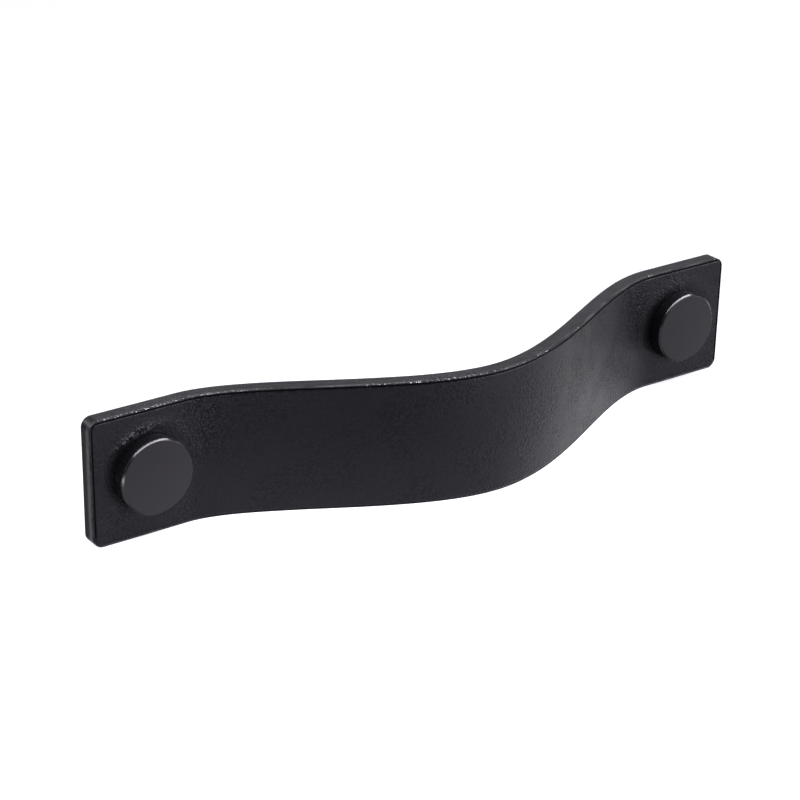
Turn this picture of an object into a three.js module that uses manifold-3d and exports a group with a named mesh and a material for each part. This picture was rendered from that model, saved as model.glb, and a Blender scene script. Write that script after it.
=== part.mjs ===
// Leather strap cabinet pull: one thick strip bowed forward between two flat end tabs,
// with a turned metal head through each tab.
// Millimetres. X runs along the handle, +Z is up, and the cabinet front is the plane Y = 0,
// so the handle stands out towards -Y. The origin is midway between the two fixing holes.
import * as THREE from "three";
import { mergeVertices } from "three/addons/utils/BufferGeometryUtils.js";
import Module from "manifold-3d";

// Fixing
const holeSpacing = 128;

// Leather strap
const strapWidth = 25;
const strapThickness = 3.5;
const tabBeyondHole = 12; // from each fixing hole to the strap's end
const projection = 25; // from the cabinet front to the front of the bow
const crownReach = 18.7; // how far the middle of the bow keeps its direction
const footReach = 14.6; // how far the foot of the bow keeps the tab's direction
const cornerRadius = 2; // seen from the front
const edgeRound = 0.25; // rounding along every cut edge of the leather
const bossClearance = 0.2; // round the boss, in the punched hole

// Metal heads
const headDiameter = 15;
const headHeight = 3; // above the leather
const headChamfer = 0.35; // round the face
const headBackChamfer = 0.2; // round the side that bears on the leather
const bossDiameter = 7;
const bossSetback = 0.2; // the boss stops short of the cabinet front, so the screw grips the leather
const bossChamfer = 0.4;

// Blind hole in each boss, drilled for an M4 thread
const drillDiameter = 3.3;
const drillPointAngle = 118;
const drillMouthChamfer = 0.4;
const faceWall = 1.2; // metal left between the drill's point and the face

// Facets
const bowFacets = 84;
const cornerFacets = 7;
const edgeFacets = 4;
const roundFacets = 80;

const leather = new THREE.MeshStandardMaterial({ color: "#2c2b30", roughness: 0.6, metalness: 0 });
const satinBlack = new THREE.MeshStandardMaterial({ color: "#3b3a3f", roughness: 0.45, metalness: 0.7 });

const wasm = await Module();
wasm.setup();

// A closed geometry as a solid that can be cut.
function solidOf(geometry) {
  const bare = geometry.clone();
  bare.deleteAttribute("normal");
  bare.deleteAttribute("uv");
  const merged = mergeVertices(bare, 1e-4);
  const mesh = new wasm.Mesh({
    numProp: 3,
    vertProperties: merged.attributes.position.array,
    triVerts: new Uint32Array(merged.index.array),
  });
  return new wasm.Manifold(mesh);
}

// A cut solid as a geometry again.
function geometryOf(solid) {
  const mesh = solid.getMesh();
  const geometry = new THREE.BufferGeometry();
  geometry.setAttribute("position", new THREE.BufferAttribute(mesh.vertProperties, 3));
  geometry.setIndex(new THREE.BufferAttribute(mesh.triVerts, 1));
  geometry.computeVertexNormals();
  return geometry;
}

// The middle layer of the leather, seen from above, for the right half of the strap.
// It is straight under the head and starts to rise at the head's rim.
const holeX = holeSpacing / 2;
const middleLayerY = -strapThickness / 2;
const crownY = -projection + strapThickness / 2;
const bendX = holeX - headDiameter / 2;
const bow = new THREE.CubicBezierCurve(
  new THREE.Vector2(0, crownY),
  new THREE.Vector2(crownReach, crownY),
  new THREE.Vector2(bendX - footReach, middleLayerY),
  new THREE.Vector2(bendX, middleLayerY),
);
const bowLength = bow.getLength();
const tabLength = holeX + tabBeyondHole - bendX;
const halfLength = bowLength + tabLength;

// Takes a point of the flat strip to its place in the bent one: along is measured on the middle
// layer from the centre of the strip, and out from the middle layer towards the front.
function bend(along, out) {
  const side = along < 0 ? -1 : 1;
  const distance = Math.abs(along);
  if (distance >= bowLength) {
    return new THREE.Vector2(side * (bendX + distance - bowLength), middleLayerY - out);
  }
  const share = distance / bowLength;
  const point = bow.getPointAt(share);
  const direction = bow.getTangentAt(share);
  point.x += direction.y * out;
  point.y -= direction.x * out;
  point.x *= side;
  return point;
}

// The strip's upper outline from end to end, inset by the same amount all round:
// a rounded corner, the stations where the bow bends, and the other corner.
function upperOutline(inset) {
  const cornerX = halfLength - cornerRadius;
  const cornerZ = strapWidth / 2 - cornerRadius;
  const radius = cornerRadius - inset;
  const points = [];
  for (let i = 0; i <= cornerFacets; i++) {
    const angle = (Math.PI / 2) * (1 + i / cornerFacets);
    points.unshift([-cornerX + radius * Math.cos(angle), cornerZ + radius * Math.sin(angle)]);
  }
  for (let i = 0; i <= bowFacets; i++) {
    points.push([bowLength * ((2 * i) / bowFacets - 1), cornerZ + radius]);
  }
  for (let i = 0; i <= cornerFacets; i++) {
    const angle = (Math.PI / 2) * (1 - i / cornerFacets);
    points.push([cornerX + radius * Math.cos(angle), cornerZ + radius * Math.sin(angle)]);
  }
  return points;
}

// The layers that the strip is lofted through, from its back to its front: each rounded edge
// is a quarter circle.
function stripLayers() {
  const straight = strapThickness / 2 - edgeRound;
  const front = [];
  for (let i = 0; i <= edgeFacets; i++) {
    const angle = (Math.PI / 2) * (i / edgeFacets);
    front.push({ out: straight + edgeRound * Math.sin(angle), inset: edgeRound * (1 - Math.cos(angle)) });
  }
  const back = front.map(({ out, inset }) => ({ out: -out, inset })).reverse();
  return [...back, ...front];
}

// The bent strip as a closed skin: a ring of points for each layer, walls between the rings,
// and a ladder of quads across the back and the front.
function bentStrip() {
  const positions = [];
  const triangles = [];
  const layers = stripLayers();
  for (const { out, inset } of layers) {
    const upper = upperOutline(inset);
    const lower = upper.map(([along, z]) => [along, -z]).reverse();
    for (const [along, z] of [...upper, ...lower]) {
      const { x, y } = bend(along, out);
      positions.push(x, y, z);
    }
  }
  const ringSize = positions.length / 3 / layers.length;
  const quad = (a, b, c, d) => triangles.push(a, b, c, a, c, d);
  for (let layer = 0; layer < layers.length - 1; layer++) {
    for (let i = 0; i < ringSize; i++) {
      const next = (i + 1) % ringSize;
      const here = layer * ringSize;
      const above = here + ringSize;
      quad(here + i, above + i, above + next, here + next);
    }
  }
  const front = (layers.length - 1) * ringSize;
  for (let i = 0; i < ringSize / 2 - 1; i++) {
    const opposite = ringSize - 1 - i;
    quad(i, i + 1, opposite - 1, opposite);
    quad(front + i, front + opposite, front + opposite - 1, front + i + 1);
  }
  const geometry = new THREE.BufferGeometry();
  geometry.setAttribute("position", new THREE.Float32BufferAttribute(positions, 3));
  geometry.setIndex(triangles);
  return geometry;
}

// The strap: the bent strip with a hole punched through each tab for the head's boss.
function strapGeometry() {
  let strap = solidOf(bentStrip());
  const punch = new THREE.CylinderGeometry(
    bossDiameter / 2 + bossClearance,
    bossDiameter / 2 + bossClearance,
    strapThickness * 2,
    roundFacets,
  );
  for (const side of [-1, 1]) {
    const placed = punch.clone().translate(side * holeX, middleLayerY, 0);
    strap = strap.subtract(solidOf(placed));
  }
  return geometryOf(strap);
}

// A head turned in one piece: a flat disc with a chamfered face, and a boss behind it that
// passes through the leather and is drilled from the cabinet side.
function headGeometry() {
  const headRadius = headDiameter / 2;
  const bossRadius = bossDiameter / 2;
  const drillRadius = drillDiameter / 2;
  const seatY = -strapThickness;
  const faceY = seatY - headHeight;
  const bossEndY = -bossSetback;
  const drillTipY = faceY + faceWall;
  const drillConeHeight = drillRadius / Math.tan(THREE.MathUtils.degToRad(drillPointAngle / 2));
  const profile = [
    [0, faceY],
    [headRadius - headChamfer, faceY],
    [headRadius, faceY + headChamfer],
    [headRadius, seatY - headBackChamfer],
    [headRadius - headBackChamfer, seatY],
    [bossRadius, seatY],
    [bossRadius, bossEndY - bossChamfer],
    [bossRadius - bossChamfer, bossEndY],
    [drillRadius + drillMouthChamfer, bossEndY],
    [drillRadius, bossEndY - drillMouthChamfer],
    [drillRadius, drillTipY + drillConeHeight],
    [0, drillTipY],
  ];
  return new THREE.LatheGeometry(profile.map(([radius, y]) => new THREE.Vector2(radius, y)), roundFacets);
}

const handle = new THREE.Group();

const strap = new THREE.Mesh(strapGeometry(), leather);
strap.name = "strap";
handle.add(strap);

for (const [name, side] of [["left_head", -1], ["right_head", 1]]) {
  const head = new THREE.Mesh(headGeometry(), satinBlack);
  head.name = name;
  head.position.x = side * holeX;
  handle.add(head);
}

export default handle;
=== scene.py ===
# A cabinet pull: one thick black leather strap bowed between two flat tabs, each held by a
# turned head of satin black metal.
import math

import bpy
from mathutils import Matrix, Vector


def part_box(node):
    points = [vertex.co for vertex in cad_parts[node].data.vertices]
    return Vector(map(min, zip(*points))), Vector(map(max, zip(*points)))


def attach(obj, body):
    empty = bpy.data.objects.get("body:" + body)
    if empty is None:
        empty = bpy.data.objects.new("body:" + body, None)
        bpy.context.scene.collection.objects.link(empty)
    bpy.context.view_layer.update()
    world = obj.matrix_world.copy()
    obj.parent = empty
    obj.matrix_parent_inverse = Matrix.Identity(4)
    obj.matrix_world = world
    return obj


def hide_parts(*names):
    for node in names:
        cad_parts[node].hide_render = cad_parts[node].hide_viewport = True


mm = 0.001

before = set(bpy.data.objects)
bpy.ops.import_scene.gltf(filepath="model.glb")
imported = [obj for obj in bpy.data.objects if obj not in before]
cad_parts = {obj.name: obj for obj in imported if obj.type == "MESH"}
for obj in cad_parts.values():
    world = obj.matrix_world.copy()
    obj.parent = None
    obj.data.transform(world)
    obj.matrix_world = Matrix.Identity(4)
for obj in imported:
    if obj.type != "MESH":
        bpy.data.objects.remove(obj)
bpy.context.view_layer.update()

strapLow, strapHigh = [Vector(corner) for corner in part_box("strap")]
headLow, headHigh = [Vector(corner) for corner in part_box("right_head")]
holeX = (headLow.x + headHigh.x) / 2
headRadius = (headHigh.x - headLow.x) / 2
print("frame loaded,", len(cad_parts), "solids, holes", round(2 * holeX / mm, 2), "mm apart")


# Nodes written as Python

class Field:
    # One output of a node, so that sums on it read as plain Python.
    def __init__(self, graph, socket):
        self.graph = graph
        self.socket = socket

    def also(self, output):
        return Field(self.graph, self.socket.node.outputs[output])

    def maths(self, operation, *values):
        return self.graph.node("ShaderNodeMath", dict(enumerate(values)), operation=operation)

    def __add__(self, other):
        return self.maths("ADD", self, other)

    def __radd__(self, other):
        return self.maths("ADD", other, self)

    def __sub__(self, other):
        return self.maths("SUBTRACT", self, other)

    def __rsub__(self, other):
        return self.maths("SUBTRACT", other, self)

    def __mul__(self, other):
        return self.maths("MULTIPLY", self, other)

    def __rmul__(self, other):
        return self.maths("MULTIPLY", other, self)

    def __truediv__(self, other):
        return self.maths("DIVIDE", self, other)

    def __rtruediv__(self, other):
        return self.maths("DIVIDE", other, self)

    def __pow__(self, other):
        return self.maths("POWER", self, other)

    def __neg__(self):
        return self.maths("MULTIPLY", self, -1.0)

    def __abs__(self):
        return self.maths("ABSOLUTE", self)

    def sign(self):
        return self.maths("SIGN", self)

    def atLeast(self, other):
        return self.maths("MAXIMUM", self, other)

    def atMost(self, other):
        return self.maths("MINIMUM", self, other)

    def bell(self, middle, reach):
        # 1 at middle, fading to both sides over reach.
        away = (self - middle) / reach
        return self.maths("EXPONENT", -(away * away))

    def rise(self, start, end):
        # 0 before start, 1 after end, with a smooth rise between; start may be the larger.
        values = {"Value": self, "From Min": start, "From Max": end}
        return self.graph.node("ShaderNodeMapRange", values, interpolation_type="SMOOTHSTEP")


class Graph:
    # A node tree, built by one method for every type of node.
    def __init__(self, tree):
        self.tree = tree

    def node(self, nodeType, values, output=0, **settings):
        made = self.tree.nodes.new(nodeType)
        for name, setting in settings.items():
            setattr(made, name, setting)
        for name, value in values.items():
            for source in value if isinstance(value, list) else [value]:
                if isinstance(source, Field):
                    self.tree.links.new(source.socket, made.inputs[name])
                else:
                    made.inputs[name].default_value = source
        return None if output is None else Field(self, made.outputs[output])

    def split(self, vector):
        x = self.node("ShaderNodeSeparateXYZ", {"Vector": vector})
        return x, x.also("Y"), x.also("Z")

    def combine(self, x, y, z):
        return self.node("ShaderNodeCombineXYZ", {"X": x, "Y": y, "Z": z})

    def mixColours(self, share, first, second):
        values = {0: share, 6: first, 7: second}
        return self.node("ShaderNodeMix", values, output=2, data_type="RGBA")

    def noise(self, vector, size, detail=3.0, roughness=0.5):
        # Soft clouds about as large as size, between 0 and 1.
        values = {"Vector": vector, "Scale": 1.0 / size, "Detail": detail, "Roughness": roughness}
        return self.node("ShaderNodeTexNoise", values)

    def pebbles(self, vector, size):
        # Rounded cells about as large as size: 0 at their middles, more towards their borders.
        values = {"Vector": vector, "Scale": 1.0 / size}
        return self.node("ShaderNodeTexVoronoi", values, feature="SMOOTH_F1")

    def mark(self, geometry, name, value, dataType):
        # Keeps a value on the points of a geometry, for the material to read.
        values = {"Geometry": geometry, "Name": name, "Value": value}
        return self.node("GeometryNodeStoreNamedAttribute", values, data_type=dataType)


def newMaterial(name):
    # A material and the graph of its nodes, still empty.
    material = bpy.data.materials.new(name)
    material.use_nodes = True
    graph = Graph(material.node_tree)
    graph.tree.nodes.clear()
    return material, graph


def newObject(name, data):
    made = bpy.data.objects.new(name, data)
    bpy.context.scene.collection.objects.link(made)
    return made


def geometryTree(name, sizes):
    # An empty Geometry Nodes tree with a named input for each size.
    socketTypes = {
        int: "NodeSocketInt",
        float: "NodeSocketFloat",
        bpy.types.Material: "NodeSocketMaterial",
    }
    tree = bpy.data.node_groups.new(name, "GeometryNodeTree")
    tree.interface.new_socket("Geometry", in_out="INPUT", socket_type="NodeSocketGeometry")
    for sizeName, size in sizes.items():
        tree.interface.new_socket(sizeName, in_out="INPUT", socket_type=socketTypes[type(size)])
    tree.interface.new_socket("Geometry", in_out="OUTPUT", socket_type="NodeSocketGeometry")
    graph = Graph(tree)
    first = graph.node("NodeGroupInput", {})
    inputs = {socket.name: Field(graph, socket) for socket in first.socket.node.outputs if socket.name}
    return graph, inputs


def finishTree(graph, geometry, material):
    real = graph.node("GeometryNodeRealizeInstances", {"Geometry": geometry})
    dressed = graph.node("GeometryNodeSetMaterial", {"Geometry": real, "Material": material})
    end = graph.tree.nodes.new("NodeGroupOutput")
    graph.tree.links.new(dressed.socket, end.inputs["Geometry"])
    return graph.tree


def runTree(name, tree, sizes, start, sharpAngle):
    # Runs a tree on a start mesh and keeps what comes out as a plain mesh.
    piece = newObject(name, start)
    modifier = piece.modifiers.new(tree.name, "NODES")
    modifier.node_group = tree
    for item in tree.interface.items_tree:
        if item.name in sizes:
            modifier[item.identifier] = sizes[item.name]
    evaluated = piece.evaluated_get(bpy.context.evaluated_depsgraph_get())
    mesh = bpy.data.meshes.new_from_object(evaluated)
    piece.modifiers.remove(modifier)
    piece.data = mesh
    mesh.name = name
    mesh.materials.clear()
    mesh.materials.append(sizes["Material"])
    mesh.shade_smooth()
    mesh.set_sharp_from_angle(angle=math.radians(sharpAngle))
    print(name, "has", sum(len(face.vertices) - 2 for face in mesh.polygons), "triangles")
    return piece


# Leather

# A pair in brackets is where a mask starts and where it is full.
leatherLook = {
    "colour": (0.001, 0.001, 0.0014, 1.0),
    # The next colour and its two sizes paint light on the lower half of the bow
    "painted lower light colour": (0.0032, 0.0034, 0.0042, 1.0),
    "edge colour": (0.0062, 0.006, 0.007, 1.0),
    "flesh colour": (0.021, 0.0185, 0.018, 1.0),
    # Pale fibres, and the colour of the painted highlights on the lip and the puckers
    "fibre and highlight colour": (0.62, 0.62, 0.63, 1.0),
    # Dark cracks in the edge paint, and the matt black used wherever shade is painted
    "crack and shade colour": (0.001, 0.001, 0.0012, 1.0),
    "specular level": 0.165,
    "specular tint": (0.845, 0.855, 1.0, 1.0),
    "roughness": 0.35,
    "roughness range": 0.1,
    "flesh roughness": 0.35,  # more than in front
    "tone size": 4 * mm,
    "painted lower light least": 0.7,
    "painted lower light range": 0.6,
    # Grain in front
    "grain size": 0.42 * mm,
    "grain depth": 0.075 * mm,
    "grain shade": 0.2,
    "grain valleys": (0.2, 0.65),
    "grain warp": 0.3 * mm,
    "grain warp size": 1.3 * mm,
    "fine grain size": 0.3 * mm,
    "fine grain share": 0.4,
    "patch size": 8 * mm,
    "patches": (0.35, 0.65),
    "patch strength": 0.8,
    "least strength": 0.6,
    "foot grain": 13 * mm,  # from each hole to where the bend opens the grain most
    "foot grain reach": 5 * mm,
    "foot grain upwards": (-3 * mm, 5 * mm),
    "foot grain strength": 1.4,
    # Puckers beside the heads
    "pucker spacing": 0.7 * mm,
    "pucker depth": 0.16 * mm,
    "pucker ring": headRadius + 1.4 * mm,
    "pucker reach": 0.8 * mm,
    "pucker lean": 0.3,  # how far they lie to the left of straight above a head
    "pucker upwards": (7.5 * mm, 8.7 * mm),
    "pucker stretch": 0.5,
    "pucker valleys": (0.48, 0.36),
    "pucker shade": 0.5,
    "left puckers": 1.0,
    "right puckers": 0.3,
    # Painted highlights on the pucker tops
    "pucker glint size": 0.32 * mm,
    "pucker glints": (0.5, 0.64),
    "pucker glint share": 0.055,
    # Cut edges and back
    "streak size": 0.6 * mm,
    "streak squeeze": (0.11, 0.5),  # of the noise along and across, which draws it out to streaks
    "streak depth": 0.06 * mm,
    "pale streaks": (0.35, 0.65),
    "cracks": (0.52, 0.4),
    "crack share": 0.75,
    "lump size": 1.1 * mm,
    "lump depth": 0.05 * mm,
    "flesh size": 0.25 * mm,
    "flesh depth": 0.05 * mm,
    "fibre size": 0.24 * mm,
    "fibre squeeze": 0.6,
    "fibresAndGlints": (0.6, 0.67),
    "edge fibres": 0.12,  # beside those on the lip
    "lip highlight": 0.01,  # how much of the pale colour is painted on the lip, a painted highlight
    "lip highlight range": 0.03,
    "end shade": 0.7,
    "bead place": -0.35,  # of the half thickness
    "bead reach": 0.3,
    # Where the fibres and painted glints show along the strap
    "speck patch size": 7 * mm,
    "speckPatches": (0.5, 0.75),
    "speck places": [(-64 * mm, 15 * mm), (-13 * mm, 14 * mm)],  # middle and reach along the strap
}


def leatherGrain(graph, look, place, front, holeAlong):
    # Small round pebbles, flatter in some places than in others: their height, and the painted shade in
    # their valleys.
    along, depth, across = graph.split(place)
    warp = graph.noise(place, look["grain warp size"], 2.0) * look["grain warp"]
    pebbles = graph.pebbles(graph.combine(along + warp, depth, across - warp), look["grain size"])
    fine = graph.noise(place, look["fine grain size"], 2.0)
    patches = graph.noise(place, look["patch size"], 2.0).rise(*look["patches"])
    feet = abs(along).bell(holeAlong - look["foot grain"], look["foot grain reach"])
    feet = feet * across.rise(*look["foot grain upwards"])
    strength = patches * look["patch strength"] + look["least strength"]
    strength = front * (strength + feet * look["foot grain strength"])
    height = (fine * look["fine grain share"] - pebbles) * strength * look["grain depth"]
    valleyShade = pebbles.rise(*look["grain valleys"]) * strength * look["grain shade"]
    return height, valleyShade


def leatherPuckers(graph, look, place, front, holeAlong):
    # Fine radial puckers where a head squeezes the leather: their height, the painted shade in their
    # valleys and painted highlights on their tops.
    along, across = graph.split(place)[::2]
    fromHole = abs(along) - holeAlong
    distance = (fromHole * fromHole + across * across) ** 0.5
    upperLeft = across - fromHole * along.sign() * look["pucker lean"]
    ring = distance.bell(look["pucker ring"], look["pucker reach"])
    ring = ring * upperLeft.rise(*look["pucker upwards"]) * front
    middle = (look["left puckers"] + look["right puckers"]) / 2
    ring = ring * (middle - along.sign() * (look["left puckers"] - middle))
    turn = fromHole.maths("ARCTAN2", across, fromHole)
    rayPlace = graph.combine(turn * headRadius, distance * look["pucker stretch"], 0.0)
    rays = graph.noise(rayPlace, look["pucker spacing"], 2.0)
    height = rays * ring * look["pucker depth"]
    valleyShade = rays.rise(*look["pucker valleys"]) * ring * look["pucker shade"]
    puckerGlints = graph.noise(place, look["pucker glint size"], 1.0).rise(*look["pucker glints"]) * ring
    return height, valleyShade, puckerGlints * look["pucker glint share"]


def blackLeather(look, size, holeAlong):
    halfWidth = size["Half Width"]
    halfThickness = size["Thickness"] / 2
    edgeRound = size["Edge Round"]
    endAlong = holeAlong + size["Half Span"] - size["Hole Place"]
    material, graph = newMaterial("black_leather")
    flat = graph.node("ShaderNodeAttribute", {}, output="Vector", attribute_name="flat")
    along, depth, across = graph.split(flat)
    crease = graph.node("ShaderNodeAttribute", {}, output="Fac", attribute_name="crease")

    # The three sides of the leather: grain in front, flesh behind, and the painted cut edge
    front = (-depth).rise(halfThickness - edgeRound * 0.5, halfThickness - edgeRound * 0.1)
    behind = depth.rise(halfThickness - edgeRound * 0.5, halfThickness - edgeRound * 0.1)
    edge = 1 - front.atLeast(behind)
    grainHeight, grainValleyShade = leatherGrain(graph, look, flat, front, holeAlong)
    puckerHeight, puckerValleyShade, puckerGlints = leatherPuckers(graph, look, flat, front, holeAlong)

    # The cut edge: paint drawn along it in fine streaks
    squeezeAlong, squeezeAcross = look["streak squeeze"]
    streakPlace = graph.combine(along * squeezeAlong, depth, across * squeezeAcross)
    streaks = graph.noise(streakPlace, look["streak size"], 4.0)
    lumps = graph.noise(flat, look["lump size"], 3.0)
    edgeHeight = edge * (streaks * look["streak depth"] + lumps * look["lump depth"])
    fleshHeight = behind * graph.noise(flat, look["flesh size"], 4.0, 0.7) * look["flesh depth"]
    height = grainHeight + puckerHeight + edgeHeight + fleshHeight
    normal = graph.node("ShaderNodeBump", {"Strength": 1.0, "Distance": 1.0, "Height": height})

    # The front lip of the cut edge is painted paler, a painted highlight, and pale specks show on it in
    # places: partly fibres, partly painted glints where light catches the lip
    lip = (-depth).bell(halfThickness - edgeRound, edgeRound * 1.5) * edge
    upper = across.rise(halfWidth - edgeRound * 1.5, halfWidth - edgeRound * 0.6)
    fibrePlace = graph.combine(along * look["fibre squeeze"], depth, across)
    fibreNoise = graph.noise(fibrePlace, look["fibre size"], 2.0, 0.6)
    speckPatches = graph.noise(graph.combine(along, 0.0, 0.0), look["speck patch size"], 2.0)
    speckPatches = speckPatches.rise(*look["speckPatches"])
    for middle, reach in look["speck places"]:
        speckPatches = speckPatches.atLeast(along.bell(middle, reach))
    fibresAndGlints = fibreNoise.rise(*look["fibresAndGlints"]) * speckPatches * (lip + edge * look["edge fibres"]) * upper
    paleStreaks = streaks.rise(*look["pale streaks"])
    paintedLipHighlight = lip * (paleStreaks * look["lip highlight range"] + look["lip highlight"])

    # The lower half of the bow is painted a little paler, painted light that grows towards its lower
    # edge, varied at random by tone
    tone = graph.noise(flat, look["tone size"], 3.0)
    onBow = abs(along).rise(holeAlong - headRadius, holeAlong - headRadius * 2.5)
    paintedLowerLight = across.rise(halfWidth * 0.6, -halfWidth) * onBow
    paintedLowerLight = paintedLowerLight * (tone * look["painted lower light range"] + look["painted lower light least"])
    leather = graph.mixColours(paintedLowerLight.atMost(1.0), look["colour"], look["painted lower light colour"])
    leather = graph.mixColours(edge, leather, look["edge colour"])
    leather = graph.mixColours(behind, leather, look["flesh colour"])
    leather = graph.mixColours(paintedLipHighlight, leather, look["fibre and highlight colour"])
    cracks = edge * streaks.rise(*look["cracks"]) * look["crack share"]
    leather = graph.mixColours(cracks, leather, look["crack and shade colour"])
    colour = graph.mixColours(fibresAndGlints.atLeast(puckerGlints), leather, look["fibre and highlight colour"])
    roughness = look["roughness"] + (tone - 0.5) * look["roughness range"]
    roughness = roughness + behind * look["flesh roughness"]

    # The crease is painted dark except along the lower edge, painted shade, and the ends are painted
    # darker except along a bead line, painted shade that draws a rounded bead
    aboveLowerEdge = across.rise(-halfWidth + edgeRound * 2, -halfWidth + edgeRound * 12)
    creaseShade = (crease * 1.3).atMost(1.0) * aboveLowerEdge
    onEnd = abs(along).rise(endAlong - edgeRound * 2, endAlong - edgeRound)
    bead = depth.bell(halfThickness * look["bead place"], halfThickness * look["bead reach"])
    endShade = edge * onEnd * (1 - bead) * look["end shade"]
    paintedShade = creaseShade.atLeast(grainValleyShade.atLeast(puckerValleyShade)).atLeast(endShade)

    values = {
        "Base Color": colour,
        "Roughness": roughness,
        "Normal": normal,
        "Specular IOR Level": look["specular level"],
        "Specular Tint": look["specular tint"],
    }
    skin = graph.node("ShaderNodeBsdfPrincipled", values)
    # A near-black matt surface, mixed in wherever shade is painted
    shadeSurface = graph.node("ShaderNodeBsdfDiffuse", {"Color": look["crack and shade colour"]})
    surface = graph.node("ShaderNodeMixShader", {0: paintedShade, 1: skin, 2: shadeSurface})
    graph.node("ShaderNodeOutputMaterial", {"Surface": surface}, output=None)
    return material


strapSize = {
    "Half Span": strapHigh.x,
    "Half Width": strapHigh.z,
    "Thickness": 3.5 * mm,
    "Projection": -strapLow.y,
    "Bend Start": holeX - headRadius,
    "Crown Reach": 18.7 * mm,
    "Foot Reach": 14.6 * mm,
    "Corner Radius": 2.0 * mm,
    "Edge Round": 0.25 * mm,
    "Hole Place": holeX,
    "Hole Radius": 3.7 * mm,
    "Swell": 0.13 * mm,  # the leather stands up a little round each head
    "Swell Ring": headRadius + 1.9 * mm,
    "Swell Reach": 1.3 * mm,
    "Waver": 0.07 * mm,  # of the cut edges
    "Waver Length": 9.0 * mm,
    "Crease Inset": 0.4 * mm,  # where the edge paint ends on the front
    "Crease Depth": 0.13 * mm,
    "Crease Reach": 0.18 * mm,
    "Crease Drift": 0.16 * mm,  # how far it strays from its inset
    "Crease Drift Length": 1.6 * mm,
}

strapSteps = {"along": 130, "across": 16, "out": 4, "corner": 22, "edge": 4, "hole": 96}


def spaced(coordinate, stretches):
    # Spreads the even steps of half a box over stretches of (length, steps), from the middle out.
    walked = abs(coordinate) * (2 * sum(steps for length, steps in stretches))
    place = 0.0
    for length, steps in stretches:
        place = (walked / steps).atLeast(0.0).atMost(1.0) * length + place
        walked = walked - steps
    return place


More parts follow.
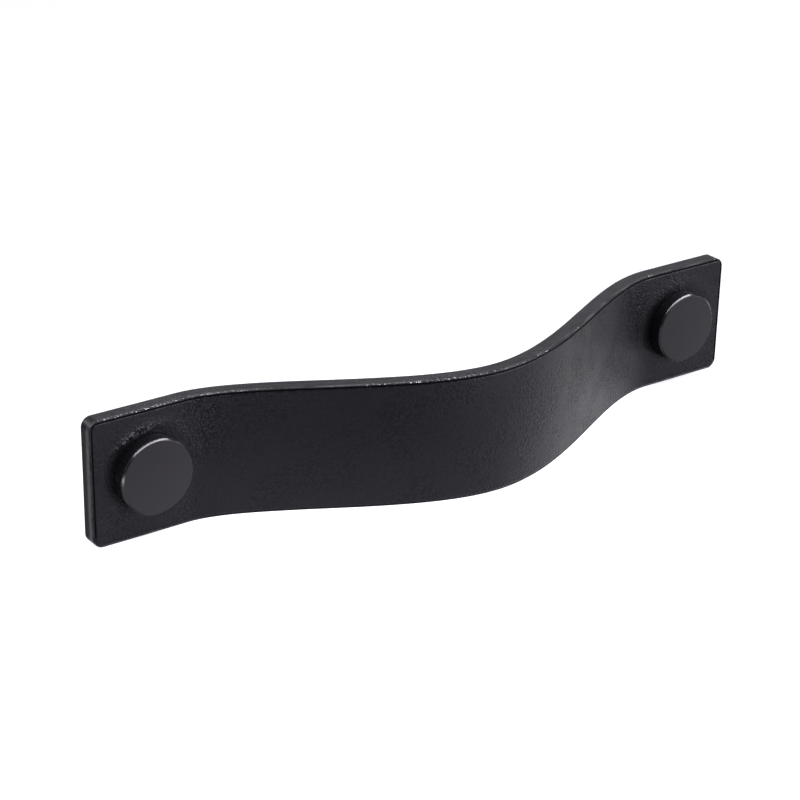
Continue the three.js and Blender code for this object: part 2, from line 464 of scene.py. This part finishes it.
def bentStripTree(sizes, steps):
    graph, size = geometryTree("bent_strip", sizes)
    halfThickness = size["Thickness"] / 2
    corner = size["Corner Radius"]
    edge = size["Edge Round"]

    # The middle layer of the leather over the right half, as seen from above
    middleY = -halfThickness
    crownY = halfThickness - size["Projection"]
    bowPoints = {
        "Resolution": 256,
        "Start": graph.combine(0.0, crownY, 0.0),
        "Start Handle": graph.combine(size["Crown Reach"], crownY, 0.0),
        "End Handle": graph.combine(size["Bend Start"] - size["Foot Reach"], middleY, 0.0),
        "End": graph.combine(size["Bend Start"], middleY, 0.0),
    }
    bow = graph.node("GeometryNodeCurvePrimitiveBezierSegment", bowPoints, mode="POSITION")
    bowLength = graph.node("GeometryNodeCurveLength", {"Curve": bow})
    halfLength = bowLength + size["Half Span"] - size["Bend Start"]

    # A box whose steps are close at its corners and edges
    innerAlong = halfLength - corner
    innerAcross = size["Half Width"] - corner
    innerOut = halfThickness - edge
    cornerSteps = [(corner - edge, steps["corner"]), (edge, steps["edge"])]
    sides = [
        [(innerAlong, steps["along"])] + cornerSteps,
        [(innerOut, steps["out"]), (edge, steps["edge"])],
        [(innerAcross, steps["across"])] + cornerSteps,
    ]
    counts = [2 * sum(count for length, count in side) + 1 for side in sides]
    boxValues = {"Size": (1.0, 1.0, 1.0)}
    boxValues.update(zip(["Vertices X", "Vertices Y", "Vertices Z"], counts))
    box = graph.node("GeometryNodeMeshCube", boxValues)
    position = graph.node("GeometryNodeInputPosition", {})
    axes = graph.split(position)
    along, out, across = [spaced(axis, side) for axis, side in zip(axes, sides)]

    # Its square corners and edges drawn in to arcs
    pastAlong = (along - innerAlong).atLeast(0.0)
    pastAcross = (across - innerAcross).atLeast(0.0)
    reach = pastAlong.atLeast(pastAcross)
    rim = (reach - (corner - edge)).atLeast(0.0)
    lip = (out - innerOut).atLeast(0.0)
    tiny = 1e-9
    arc = rim.atLeast(lip) / ((rim * rim + lip * lip) ** 0.5).atLeast(tiny)
    drawn = reach.atMost(corner - edge) + rim * arc
    share = drawn / ((pastAlong * pastAlong + pastAcross * pastAcross) ** 0.5).atLeast(tiny)
    endToEnd = axes[0].sign() * along
    wander = graph.noise(graph.combine(endToEnd, axes[2], 0.0), size["Waver Length"], 2.0) - 0.5
    waver = wander * size["Waver"] * (abs(axes[2]) * 2) ** 4.0
    flatPlace = graph.combine(
        axes[0].sign() * (along.atMost(innerAlong) + pastAlong * share),
        axes[1].sign() * (out.atMost(innerOut) + lip * arc),
        axes[2].sign() * (across.atMost(innerAcross) + pastAcross * share + waver),
    )
    strip = graph.node("GeometryNodeSetPosition", {"Geometry": box, "Position": flatPlace})

    # A punched hole in each tab
    holeAlong = bowLength + size["Hole Place"] - size["Bend Start"]
    punchValues = {
        "Vertices": steps["hole"],
        "Radius": size["Hole Radius"],
        "Depth": size["Thickness"] * 3,
    }
    punch = graph.node("GeometryNodeMeshCylinder", punchValues)
    punches = []
    for side in (-1.0, 1.0):
        place = graph.combine(holeAlong * side, 0.0, 0.0)
        placeValues = {"Geometry": punch, "Translation": place, "Rotation": (math.pi / 2, 0.0, 0.0)}
        punches.append(graph.node("GeometryNodeTransform", placeValues))
    punched = graph.node(
        "GeometryNodeMeshBoolean",
        {"Mesh 1": strip, "Mesh 2": punches},
        operation="DIFFERENCE",
        solver="MANIFOLD",
    )
    flatAlong, flatDepth, flatAcross = graph.split(position)
    walked = abs(flatAlong)

    # A crease round the front, where the paint of the cut edge ends
    cornerAlong = (walked - innerAlong).atLeast(0.0)
    cornerAcross = (abs(flatAcross) - innerAcross).atLeast(0.0)
    inset = corner - (cornerAlong ** 3.0 + cornerAcross ** 3.0) ** (1 / 3)
    uneven = graph.noise(graph.combine(flatAlong, flatAcross, 0.0), size["Crease Drift Length"], 2.0)
    inFront = (-flatDepth).rise(innerOut, halfThickness)
    drifted = size["Crease Inset"] + (uneven - 0.5) * size["Crease Drift"]
    crease = inset.bell(drifted, size["Crease Reach"]) * inFront
    marked = graph.mark(punched, "flat", position, "FLOAT_VECTOR")
    marked = graph.mark(marked, "crease", crease, "FLOAT")

    # Bent along the bow, each half in its own direction from the crown
    fromHole = walked - holeAlong
    distance = (fromHole * fromHole + flatAcross * flatAcross) ** 0.5
    swell = distance.bell(size["Swell Ring"], size["Swell Reach"]) * size["Swell"] * inFront
    outwards = swell - flatDepth - crease * size["Crease Depth"] * (uneven + 0.5)
    sampleValues = {"Curves": bow, "Length": walked}
    onBow = graph.node("GeometryNodeSampleCurve", sampleValues, output="Position", mode="LENGTH")
    bowX, bowY = graph.split(onBow)[:2]
    tangentX, tangentY = graph.split(onBow.also("Tangent"))[:2]
    beyond = (walked - bowLength).atLeast(0.0)
    bentPlace = graph.combine(
        flatAlong.sign() * (bowX + tangentX * beyond + tangentY * outwards),
        bowY + tangentY * beyond - tangentX * outwards,
        flatAcross,
    )
    bent = graph.node("GeometryNodeSetPosition", {"Geometry": marked, "Position": bentPlace})
    return finishTree(graph, bent, size["Material"])


def bowArcLength(size, steps=400):
    # The length of the middle layer from the crown to where the tab starts.
    middleY = -size["Thickness"] / 2
    crown = Vector((0.0, -size["Projection"] - middleY))
    foot = Vector((size["Bend Start"], middleY))
    crownHandle = crown + Vector((size["Crown Reach"], 0.0))
    footHandle = foot - Vector((size["Foot Reach"], 0.0))
    points = []
    for step in range(steps + 1):
        share = step / steps
        rest = 1 - share
        nearCrown = crown * rest ** 3 + crownHandle * (3 * rest ** 2 * share)
        nearFoot = footHandle * (3 * rest * share ** 2) + foot * share ** 3
        points.append(nearCrown + nearFoot)
    return sum((after - before).length for before, after in zip(points, points[1:]))


holeAlong = bowArcLength(strapSize) + headRadius
strapSize["Material"] = blackLeather(leatherLook, strapSize, holeAlong)
stripTree = bentStripTree(strapSize, strapSteps)
bentStrap = runTree("bentStrap", stripTree, strapSize, bpy.data.meshes.new("strapStart"), 40)
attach(bentStrap, "root")
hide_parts("strap")


# Metal heads

metalLook = {
    "colour": (0.003, 0.0028, 0.0034, 1.0),
    "specular level": 0.255,
    "specular tint": (0.95, 0.92, 1.0, 1.0),
    "roughness": 0.2,
    "texture size": 0.12 * mm,
    "texture depth": 0.0012 * mm,
    "texture roughness": 0.05,
    "cloud size": 2.6 * mm,
    "cloud depth": 0.002 * mm,
    "cloud roughness": 0.08,
    "rim shade outwards": (headRadius - 0.5 * mm, headRadius - 0.3 * mm),  # start and full
    "rim shade downwards": (-2 * mm, -5 * mm),
    "rim shade share": 0.7,
}


def satinBlack(look):
    material, graph = newMaterial("satin_black")
    place = graph.node("ShaderNodeTexCoord", {}, output="Object")
    texture = graph.noise(place, look["texture size"], 3.0, 0.6)
    clouds = graph.noise(place, look["cloud size"], 3.0)
    height = texture * look["texture depth"] + clouds * look["cloud depth"]
    roughness = look["roughness"] + (clouds - 0.5) * look["cloud roughness"]
    roughness = roughness + (texture - 0.5) * look["texture roughness"]
    values = {
        "Base Color": look["colour"],
        "Roughness": roughness,
        "Normal": graph.node("ShaderNodeBump", {"Strength": 1.0, "Distance": 1.0, "Height": height}),
        "Specular IOR Level": look["specular level"],
        "Specular Tint": look["specular tint"],
    }
    metal = graph.node("ShaderNodeBsdfPrincipled", values)
    rimShadeMatt = graph.node("ShaderNodeBsdfDiffuse", {"Color": look["colour"]})

    # The lower side of the rim is mixed towards matt black, painted shade that dims its reflection there
    along, up = graph.split(place)[::2]
    distance = ((abs(along) - holeX) ** 2.0 + up * up) ** 0.5
    rimShade = distance.rise(*look["rim shade outwards"]) * up.rise(*look["rim shade downwards"])
    surface = graph.node("ShaderNodeMixShader", {0: rimShade * look["rim shade share"], 1: metal, 2: rimShadeMatt})
    graph.node("ShaderNodeOutputMaterial", {"Surface": surface}, output=None)
    return material


headSize = {
    "Segments": 128,
    "Bore Radius": 1.65 * mm,
    "Thread Depth": 0.32 * mm,
    "Thread Pitch": 0.7 * mm,
    "Thread Start": -0.75 * mm,
    "Thread End": -4.4 * mm,
    "Thread Fade": 0.5 * mm,
    "Head Place": holeX,
    "Material": satinBlack(metalLook),
}

headProfile = {
    "face": headLow.y,
    "seat": -strapSize["Thickness"],
    "boss end": headHigh.y,
    "chamfer": 0.35 * mm,
    "back chamfer": 0.2 * mm,
    "boss radius": 3.5 * mm,
    "boss chamfer": 0.4 * mm,
    "mouth chamfer": 0.4 * mm,
    "face wall": 1.2 * mm,
    "drill angle": 118,
    "corner radius": 0.07 * mm,
    "corner steps": 3,
    "thread rows": 60,
}


def roundedOutline(points, radius, steps):
    # The outline with each inner corner turned into a small arc; its two ends stay.
    outline = [points[0]]
    for before, corner, after in zip(points, points[1:], points[2:]):
        toBefore = (before - corner).normalized()
        toAfter = (after - corner).normalized()
        halfAngle = toBefore.angle(toAfter) / 2
        setback = radius / math.tan(halfAngle)
        centre = corner + (toBefore + toAfter).normalized() * (radius / math.sin(halfAngle))
        start = corner + toBefore * setback - centre
        end = corner + toAfter * setback - centre
        sweep = start.angle(end)
        for step in range(steps + 1):
            turned = sweep * step / steps
            arc = start * math.sin(sweep - turned) + end * math.sin(turned)
            outline.append(centre + arc / math.sin(sweep))
    outline.append(points[-1])
    return outline


def profileMesh(shape, size):
    # Half the head's section, from the middle of its face round to the drill's tip.
    bore = size["Bore Radius"]
    boss = shape["boss radius"]
    tip = shape["face"] + shape["face wall"]
    cone = bore / math.tan(math.radians(shape["drill angle"] / 2))
    mouth = shape["boss end"] - shape["mouth chamfer"]
    corners = [
        (0.0, shape["face"]),
        (headRadius - shape["chamfer"], shape["face"]),
        (headRadius, shape["face"] + shape["chamfer"]),
        (headRadius, shape["seat"] - shape["back chamfer"]),
        (headRadius - shape["back chamfer"], shape["seat"]),
        (boss, shape["seat"]),
        (boss, shape["boss end"] - shape["boss chamfer"]),
        (boss - shape["boss chamfer"], shape["boss end"]),
        (bore + shape["mouth chamfer"], shape["boss end"]),
        (bore, mouth),
    ]
    corners = [Vector(corner) for corner in corners]
    outline = roundedOutline(corners, shape["corner radius"], shape["corner steps"])
    boreLength = mouth - (tip + cone)
    for row in range(1, shape["thread rows"] + 1):
        outline.append(Vector((bore, mouth - boreLength * row / shape["thread rows"])))
    outline.append(Vector((0.0, tip)))
    mesh = bpy.data.meshes.new("headProfile")
    mesh.from_pydata([(point.x, point.y, 0.0) for point in outline], [], [])
    return mesh


def turnedHeadTree(sizes):
    graph, size = geometryTree("turned_head", sizes)
    profile = size["Geometry"]
    rows = graph.node("GeometryNodeAttributeDomainSize", {"Geometry": profile}, component="MESH")
    gridValues = {
        "Size X": 1.0,
        "Size Y": 1.0,
        "Vertices X": rows,
        "Vertices Y": size["Segments"] + 1,
    }
    grid = graph.node("GeometryNodeMeshGrid", gridValues)
    position = graph.node("GeometryNodeInputPosition", {})
    gridX, gridY = graph.split(position)[:2]
    row = gridX.maths("ROUND", (gridX + 0.5) * (rows - 1))
    sampleValues = {"Geometry": profile, "Value": position, "Index": row}
    sample = graph.node("GeometryNodeSampleIndex", sampleValues, data_type="FLOAT_VECTOR")
    radius, height = graph.split(sample)[:2]
    turn = gridY + 0.5

    # The thread climbs one pitch a turn, in the drilled wall only
    climb = height / size["Thread Pitch"] - turn
    ridge = 1 - abs(climb.maths("FRACT", climb) * 2 - 1)
    threaded = radius.bell(size["Bore Radius"], 0.02 * mm)
    fade = size["Thread Fade"]
    threaded = threaded * height.rise(size["Thread Start"] + fade, size["Thread Start"])
    threaded = threaded * height.rise(size["Thread End"], size["Thread End"] + fade)
    groove = ridge.rise(0.12, 0.88) * threaded * size["Thread Depth"]
    wide = radius + groove
    angle = turn * (2 * math.pi)
    place = graph.combine(
        wide * angle.maths("COSINE", angle) + size["Head Place"],
        height,
        wide * angle.maths("SINE", angle),
    )
    turned = graph.node("GeometryNodeSetPosition", {"Geometry": grid, "Position": place})
    closed = graph.node("GeometryNodeMergeByDistance", {"Geometry": turned, "Distance": 0.001 * mm})
    return finishTree(graph, closed, size["Material"])


headTree = turnedHeadTree(headSize)
for pieceName, nodeName, side in (("leftHead", "left_head", -1), ("rightHead", "right_head", 1)):
    headSize["Head Place"] = side * holeX
    head = runTree(pieceName, headTree, headSize, profileMesh(headProfile, headSize), 30)
    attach(head, "root")
    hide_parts(nodeName)


# Floor, light and camera

studio = {
    "floor radius": 2.6,
    "floor corners": 96,
    "floor colour": (0.19, 0.19, 0.198, 1.0),
    "floor roughness": 0.9,
    "floor specular level": 0.1,
    "floor light": (0.56, 0.56, 0.57, 1.0),
    "glows": [  # the white table glows evenly, and more in three painted pools of light
        {"centre": (-20 * mm, 2 * mm), "reach": (75 * mm, 40 * mm), "light": (1.4, 1.38, 1.42, 1.0)},
        {"centre": (30 * mm, -130 * mm), "reach": (45 * mm, 45 * mm), "light": (4.0, 3.92, 4.08, 1.0)},
        {"centre": (-126 * mm, -48 * mm), "reach": (26 * mm, 22 * mm), "light": (24.0, 23.5, 24.5, 1.0)},
    ],
    "foot": -1.75 * mm,  # the tabs stand here, and round them the table's glow is taken out, a painted shadow
    "foot reach": (headRadius * 1.25, 2.2 * mm),  # along the handle and outwards
    "painted foot shadow": (0.0, 0.0, 0.0, 1.0),
    "sky colour": (1.0, 0.98, 1.03, 1.0),
    "sky strength": 0.2,
    "light colour": (1.0, 0.98, 1.03),
    "softbox distance": 1.1,
    "camera azimuth": -36.496,
    "camera elevation": 23.961,
    "camera roll": 1.081,
    "camera distance": 454.412 * mm,
    "camera target": Vector((-6.875, -1.75, -0.624)) * mm,
    "lens": 104.98,
    "sensor width": 36.0,
    "nearest": 0.01,
}

softboxes = {
    "key": {"azimuth": 45, "elevation": 46, "size": (0.85, 0.36), "radiance": 6.0},
    "arch": {"azimuth": 14, "elevation": 55, "size": (1.9, 0.14), "radiance": 40.0},
    "side": {"azimuth": 43, "elevation": 12, "size": (1.3, 0.34), "radiance": 14.8},
    "back": {"azimuth": 152, "elevation": 24, "size": (0.9, 0.4), "radiance": 0.8},
    "behind": {"azimuth": -125, "elevation": 30, "size": (1.0, 0.8), "radiance": 6.5},
}


def layFloor(settings):
    mesh = bpy.data.meshes.new("floor")
    corners = settings["floor corners"]
    radius = settings["floor radius"]
    points = []
    for corner in range(corners):
        turn = 2 * math.pi * corner / corners
        points.append((radius * math.cos(turn), radius * math.sin(turn), strapLow.z))
    mesh.from_pydata(points, [], [list(range(corners))])
    material, graph = newMaterial("lit_table")
    place = graph.node("ShaderNodeTexCoord", {}, output="Object")
    x, y = graph.split(place)[:2]
    light = settings["floor light"]
    for glow in settings["glows"]:
        centreX, centreY = glow["centre"]
        reachX, reachY = glow["reach"]
        share = x.bell(centreX, reachX) * y.bell(centreY, reachY)
        light = graph.mixColours(share, light, glow["light"])
    reachX, reachY = settings["foot reach"]
    # A painted shadow on the table round each tab's foot
    paintedFootShadow = abs(x).bell(holeX, reachX) * y.bell(settings["foot"], reachY)
    light = graph.mixColours(paintedFootShadow, light, settings["painted foot shadow"])
    values = {
        "Base Color": settings["floor colour"],
        "Roughness": settings["floor roughness"],
        "Specular IOR Level": settings["floor specular level"],
        "Emission Color": light,
        "Emission Strength": 1.0,
    }
    surface = graph.node("ShaderNodeBsdfPrincipled", values)
    graph.node("ShaderNodeOutputMaterial", {"Surface": surface}, output=None)
    mesh.materials.append(material)
    newObject("floor", mesh)


def lightSky(settings):
    world = bpy.data.worlds.new("studio")
    world.use_nodes = True
    graph = Graph(world.node_tree)
    graph.tree.nodes.clear()
    skyValues = {"Color": settings["sky colour"], "Strength": settings["sky strength"]}
    sky = graph.node("ShaderNodeBackground", skyValues)
    graph.node("ShaderNodeOutputWorld", {"Surface": sky}, output=None)
    bpy.context.scene.world = world


def towards(azimuth, elevation):
    # The direction from the handle; azimuth 0 is straight in front of it and 90 is to its right.
    turn = math.radians(azimuth)
    lift = math.radians(elevation)
    return Vector((math.sin(turn) * math.cos(lift), -math.cos(turn) * math.cos(lift), math.sin(lift)))


def hangSoftbox(name, settings):
    light = bpy.data.lights.new(name, "AREA")
    light.shape = "RECTANGLE"
    light.size, light.size_y = settings["size"]
    light.energy = settings["radiance"] * math.pi * light.size * light.size_y
    light.color = studio["light colour"]
    box = newObject(name, light)
    away = towards(settings["azimuth"], settings["elevation"])
    box.location = away * studio["softbox distance"]
    box.rotation_euler = away.to_track_quat("Z", "Y").to_euler()


def placeCamera(settings):
    roll = math.radians(settings["camera roll"])
    back = towards(settings["camera azimuth"], settings["camera elevation"])
    level = Vector((0.0, 0.0, 1.0)).cross(back).normalized()
    up = back.cross(level)
    right = level * math.cos(roll) + up * math.sin(roll)
    top = up * math.cos(roll) - level * math.sin(roll)
    data = bpy.data.cameras.new("camera")
    data.lens = settings["lens"]
    data.sensor_width = settings["sensor width"]
    data.clip_start = settings["nearest"]
    camera = newObject("camera", data)
    camera.matrix_world = Matrix((right, top, back)).transposed().to_4x4()
    camera.location = settings["camera target"] + back * settings["camera distance"]
    bpy.context.scene.camera = camera


layFloor(studio)
lightSky(studio)
for softboxName, softbox in softboxes.items():
    hangSoftbox(softboxName, softbox)
placeCamera(studio)
bpy.context.scene.view_settings.view_transform = "Standard"
print("stage set")
